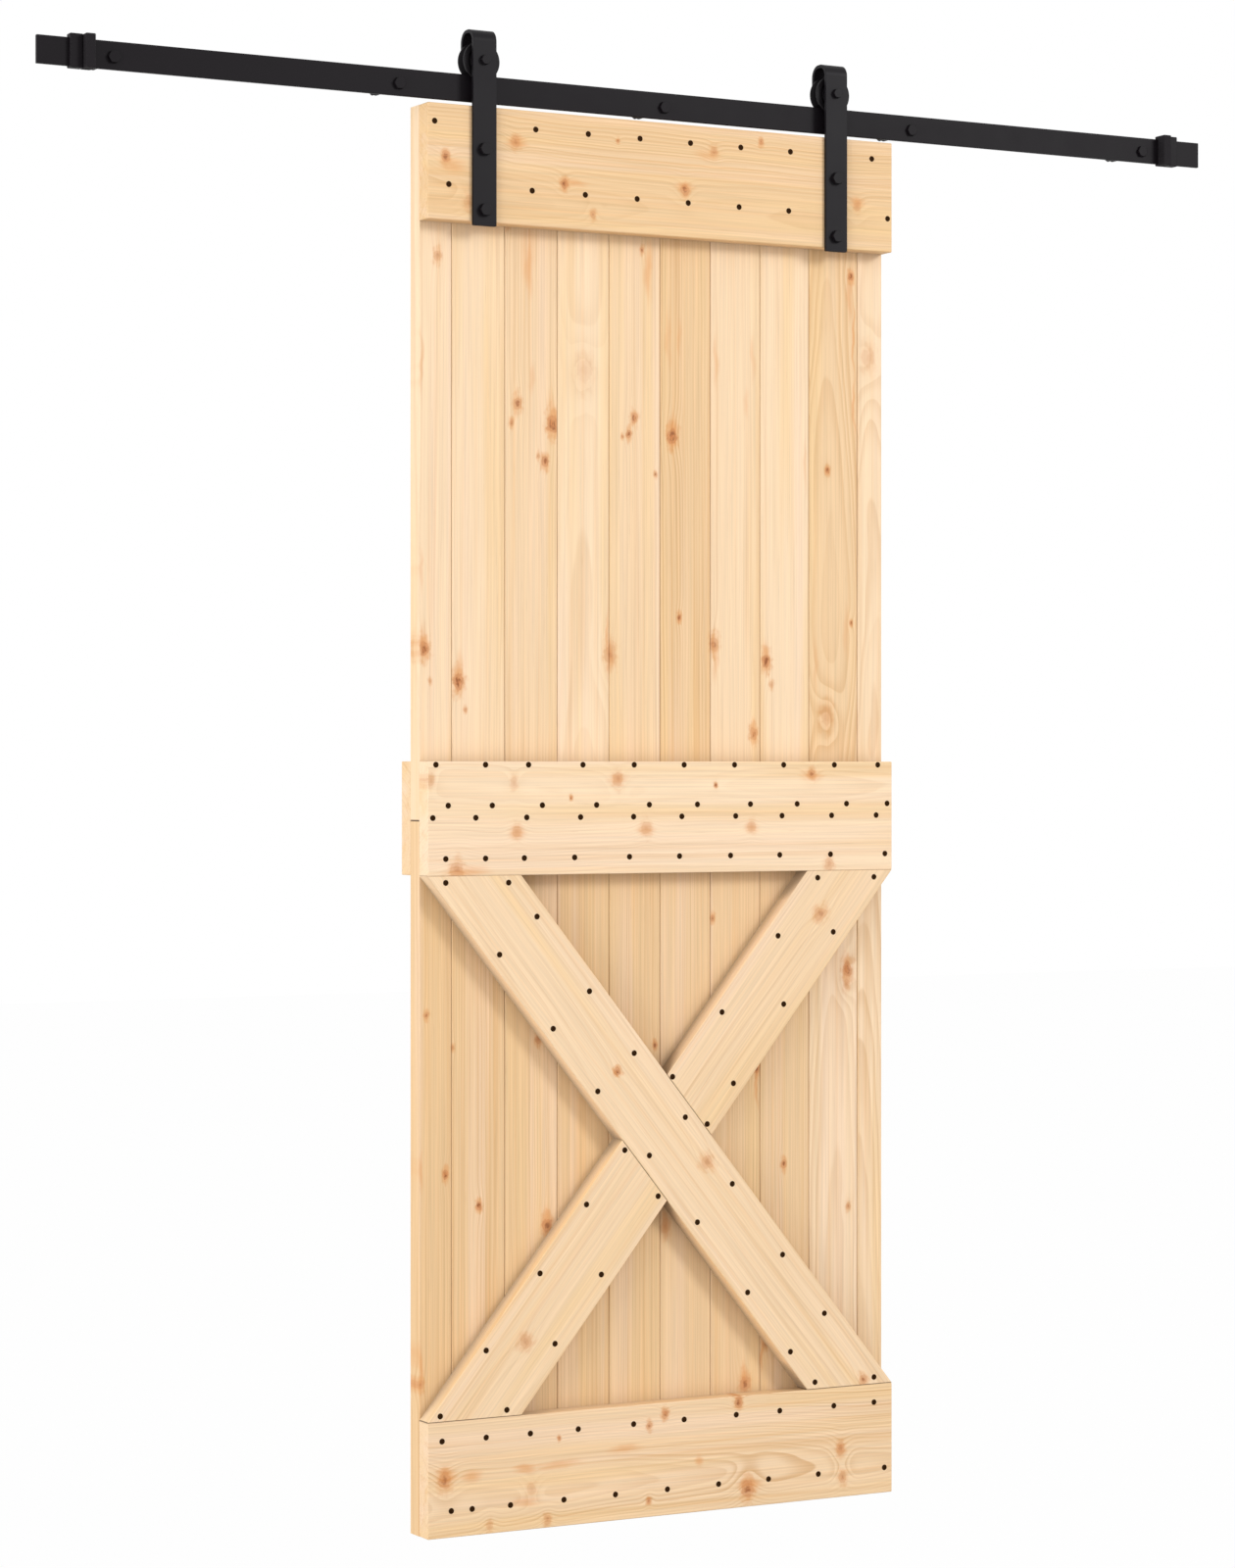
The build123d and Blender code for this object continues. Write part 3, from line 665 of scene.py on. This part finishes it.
def screw_heads(name, places):
    """One mesh with a screw head at each place on the front, measured from the leaf's lower left corner."""
    rings = head_rings()
    count = len(rings[0])
    turns = random.Random(name)
    points, faces = [], []
    for x, z in places:
        x, z = leaf_left_bottom.x + x * mm, leaf_bottom_z + z * mm
        first = len(points)
        turn = turns.uniform(0, math.pi / 2)
        for ring in rings:
            points += [(x + r * math.cos(a + turn), leaf_front_y - rise, z + r * math.sin(a + turn))
                       for a, r, rise in ring]
        for step in range(len(rings) - 1):
            for i in range(count):
                j = (i + 1) % count
                start = first + step * count
                faces.append((start + i, start + j, start + count + j, start + count + i))
        faces.append([first + (len(rings) - 1) * count + i for i in range(count)])
    mesh = bpy.data.meshes.new(name)
    mesh.from_pydata(points, [], faces)
    heads = bpy.data.objects.new(name, mesh)
    bpy.context.scene.collection.objects.link(heads)
    mesh.materials.append(black_screw)
    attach(heads, "door")


black_screw = bpy.data.materials.new("black_screw")
black_screw.use_nodes = True
screw_tree = black_screw.node_tree
screw_surface = screw_tree.nodes["Principled BSDF"]
screw_gloss = 0.02
screw_surface.inputs["Specular IOR Level"].default_value = screw_gloss
screw_spot = screw_tree.nodes.new("ShaderNodeTexCoord").outputs["Object"]
screw_grime = noise(screw_tree, screw_spot, 2.0, (900.0, 900.0, 900.0), 3.0).outputs["Fac"]
screw_colour = tint(screw_tree, screw_grime, srgb(42, 25, 10), srgb(60, 38, 18))
screw_roughness = reckon(screw_tree, "MULTIPLY_ADD", screw_grime, 0.3, 0.4)
feed(screw_tree, screw_colour, screw_surface.inputs["Base Color"])
feed(screw_tree, screw_roughness, screw_surface.inputs["Roughness"])

# Rows on the rails: the height of each row and its screws' places across the leaf, in millimetres
rail_rows = {
    "top_rail": {2073: (11, 177, 265, 353, 440, 528, 616, 763),
                 1982: (34, 171, 260, 348, 436, 525, 613, 792)},
    "middle_rail": {1132: (13, 94, 165, 256, 343, 429, 517, 604, 695, 774),
                    1072: (33, 105, 188, 279, 369, 452, 545, 628, 717, 791),
                    1054: (8, 78, 162, 252, 342, 425, 519, 601, 690, 771),
                    994: (29, 94, 158, 242, 335, 421, 510, 597, 688, 787)},
    "bottom_rail": {142: (23, 95, 168, 248, 342, 429, 520, 597, 694, 767),
                    39: (38, 72, 135, 224, 311, 400, 489, 577, 666, 786)},
}
for rail, rows in rail_rows.items():
    screw_heads(f"{rail}_screws", [(x, z) for z, row in rows.items() for x in row])

# Screws on the braces, near both edges of each: across and up
screw_heads("long_brace_screws", [
    (29, 959), (117, 852), (206, 740), (281, 644), (369, 544), (452, 439), (540, 327), (616, 231), (660, 181),
    (132, 958), (179, 907), (267, 794), (343, 699), (431, 599), (513, 494), (602, 381), (677, 286), (767, 181),
])
screw_heads("upper_short_brace_screws", [
    (665, 958), (594, 870), (495, 756), (409, 661), (767, 958), (693, 874), (604, 765), (515, 647), (469, 587),
])
screw_heads("lower_short_brace_screws", [
    (20, 179), (95, 270), (184, 378), (262, 476), (327, 554), (129, 180), (209, 272), (287, 370), (384, 482),
])


# The track and its fixings: a flat steel bar, five steel spacers and five coach screws, all with a matt
# black powder coat whose skin is very slightly uneven.
def coat_group():
    """Powder coat: a fine orange-peel skin and a faint cloudiness in its black."""
    tree, given, result = start_group(
        "powder_coat", {"Place": "Vector", "Seed": "Float", "Dark": "Color", "Light": "Color"},
        {"Colour": "Color", "Roughness": "Float", "Height": "Float"})
    skin = noise(tree, given["Place"], given["Seed"], (700.0, 700.0, 700.0), 2.0).outputs["Fac"]
    cloud = noise(tree, given["Place"], given["Seed"], (22.0, 22.0, 22.0), 3.0).outputs["Fac"]
    colour = tint(tree, step_between(tree, cloud, 0.3, 0.7), given["Dark"], given["Light"])
    feed(tree, colour, result["Colour"])
    feed(tree, reckon(tree, "MULTIPLY_ADD", cloud, 0.14, 0.42), result["Roughness"])
    feed(tree, skin, result["Height"])
    return tree


powder_coat = coat_group()


def coated_steel(name, seed, gloss, dark, light, edge_radius):
    """Black powder-coated steel with edges that the coat rounds over. Gloss is how much light it throws
    back, and the coat's black lies between dark and light."""
    skin_strength, skin_depth = 0.12, 0.1 * mm
    material = bpy.data.materials.new(name)
    material.use_nodes = True
    tree = material.node_tree
    spot = tree.nodes.new("ShaderNodeTexCoord").outputs["Object"]
    coat = place_group(tree, powder_coat, Place=spot, Seed=seed, Dark=dark, Light=light)
    surface = tree.nodes["Principled BSDF"]
    surface.inputs["Specular IOR Level"].default_value = gloss
    feed(tree, coat["Colour"], surface.inputs["Base Color"])
    feed(tree, coat["Roughness"], surface.inputs["Roughness"])
    rounded = tree.nodes.new("ShaderNodeBevel")
    rounded.samples = 6
    rounded.inputs["Radius"].default_value = edge_radius
    skin = tree.nodes.new("ShaderNodeBump")
    skin.inputs["Strength"].default_value = skin_strength
    skin.inputs["Distance"].default_value = skin_depth
    feed(tree, coat["Height"], skin.inputs["Height"])
    feed(tree, rounded.outputs["Normal"], skin.inputs["Normal"])
    feed(tree, skin.outputs["Normal"], surface.inputs["Normal"])
    return material


track_coat = coated_steel("track_coat", seed=1.0, gloss=0.115, dark=srgb(18, 14, 18),
                          light=srgb(21, 17, 21), edge_radius=0.6 * mm)
for part in ("track_bar", "wall_spacers", "wall_screws"):
    finish_node(part, track_coat)


# The end stops: a coated steel collar threaded on the track near each end, and against its inner side a
# deeper block of black rubber that faces the wheel.
stop_coat = coated_steel("stop_coat", seed=4.0, gloss=0.12, dark=srgb(18, 14, 18),
                         light=srgb(21, 17, 21), edge_radius=0.8 * mm)
rubber_gloss = 0.18
rubber = bpy.data.materials.new("black_rubber")
rubber.use_nodes = True
rubber_tree = rubber.node_tree
rubber_surface = rubber_tree.nodes["Principled BSDF"]
rubber_surface.inputs["Specular IOR Level"].default_value = rubber_gloss
rubber_spot = rubber_tree.nodes.new("ShaderNodeTexCoord").outputs["Object"]
bloom = noise(rubber_tree, rubber_spot, 7.0, (160.0, 160.0, 160.0), 4.0).outputs["Fac"]
rubber_colour = tint(rubber_tree, bloom, srgb(26, 23, 26), srgb(31, 28, 31))
rubber_roughness = reckon(rubber_tree, "MULTIPLY_ADD", bloom, 0.2, 0.7)
feed(rubber_tree, rubber_colour, rubber_surface.inputs["Base Color"])
feed(rubber_tree, rubber_roughness, rubber_surface.inputs["Roughness"])
for side in ("left", "right"):
    finish_node(f"{side}_stop_collar", stop_coat)
    finish_node(f"{side}_stop_buffer", rubber)


# The hangers: a flat steel strap bent over each wheel, bolted through the leaf with hexagon bolts, and
# the wheel's axle bolt, washers and nut. All are coated like the track.
strap_coat = coated_steel("strap_coat", seed=9.0, gloss=0.15, dark=srgb(17, 14, 18),
                          light=srgb(20, 17, 21), edge_radius=0.8 * mm)
bolt_coat = coated_steel("bolt_coat", seed=12.0, gloss=0.15, dark=srgb(16, 13, 17),
                         light=srgb(20, 17, 20), edge_radius=0.5 * mm)
for side in ("left", "right"):
    finish_node(f"{side}_hanger_strap", strap_coat)
for part in ("strap_bolts", "strap_nuts", "axle_bolts", "axle_nuts", "axle_washers"):
    finish_node(part, bolt_coat)


# The wheels: turned steel with a groove that straddles the track's upper edge, coated black like the
# hangers. The coat rounds over their turned edges a little less.
wheel_coat = coated_steel("wheel_coat", seed=15.0, gloss=0.15, dark=srgb(16, 13, 16),
                          light=srgb(20, 17, 20), edge_radius=0.4 * mm)
for side in ("left", "right"):
    finish_node(f"{side}_wheel", wheel_coat)
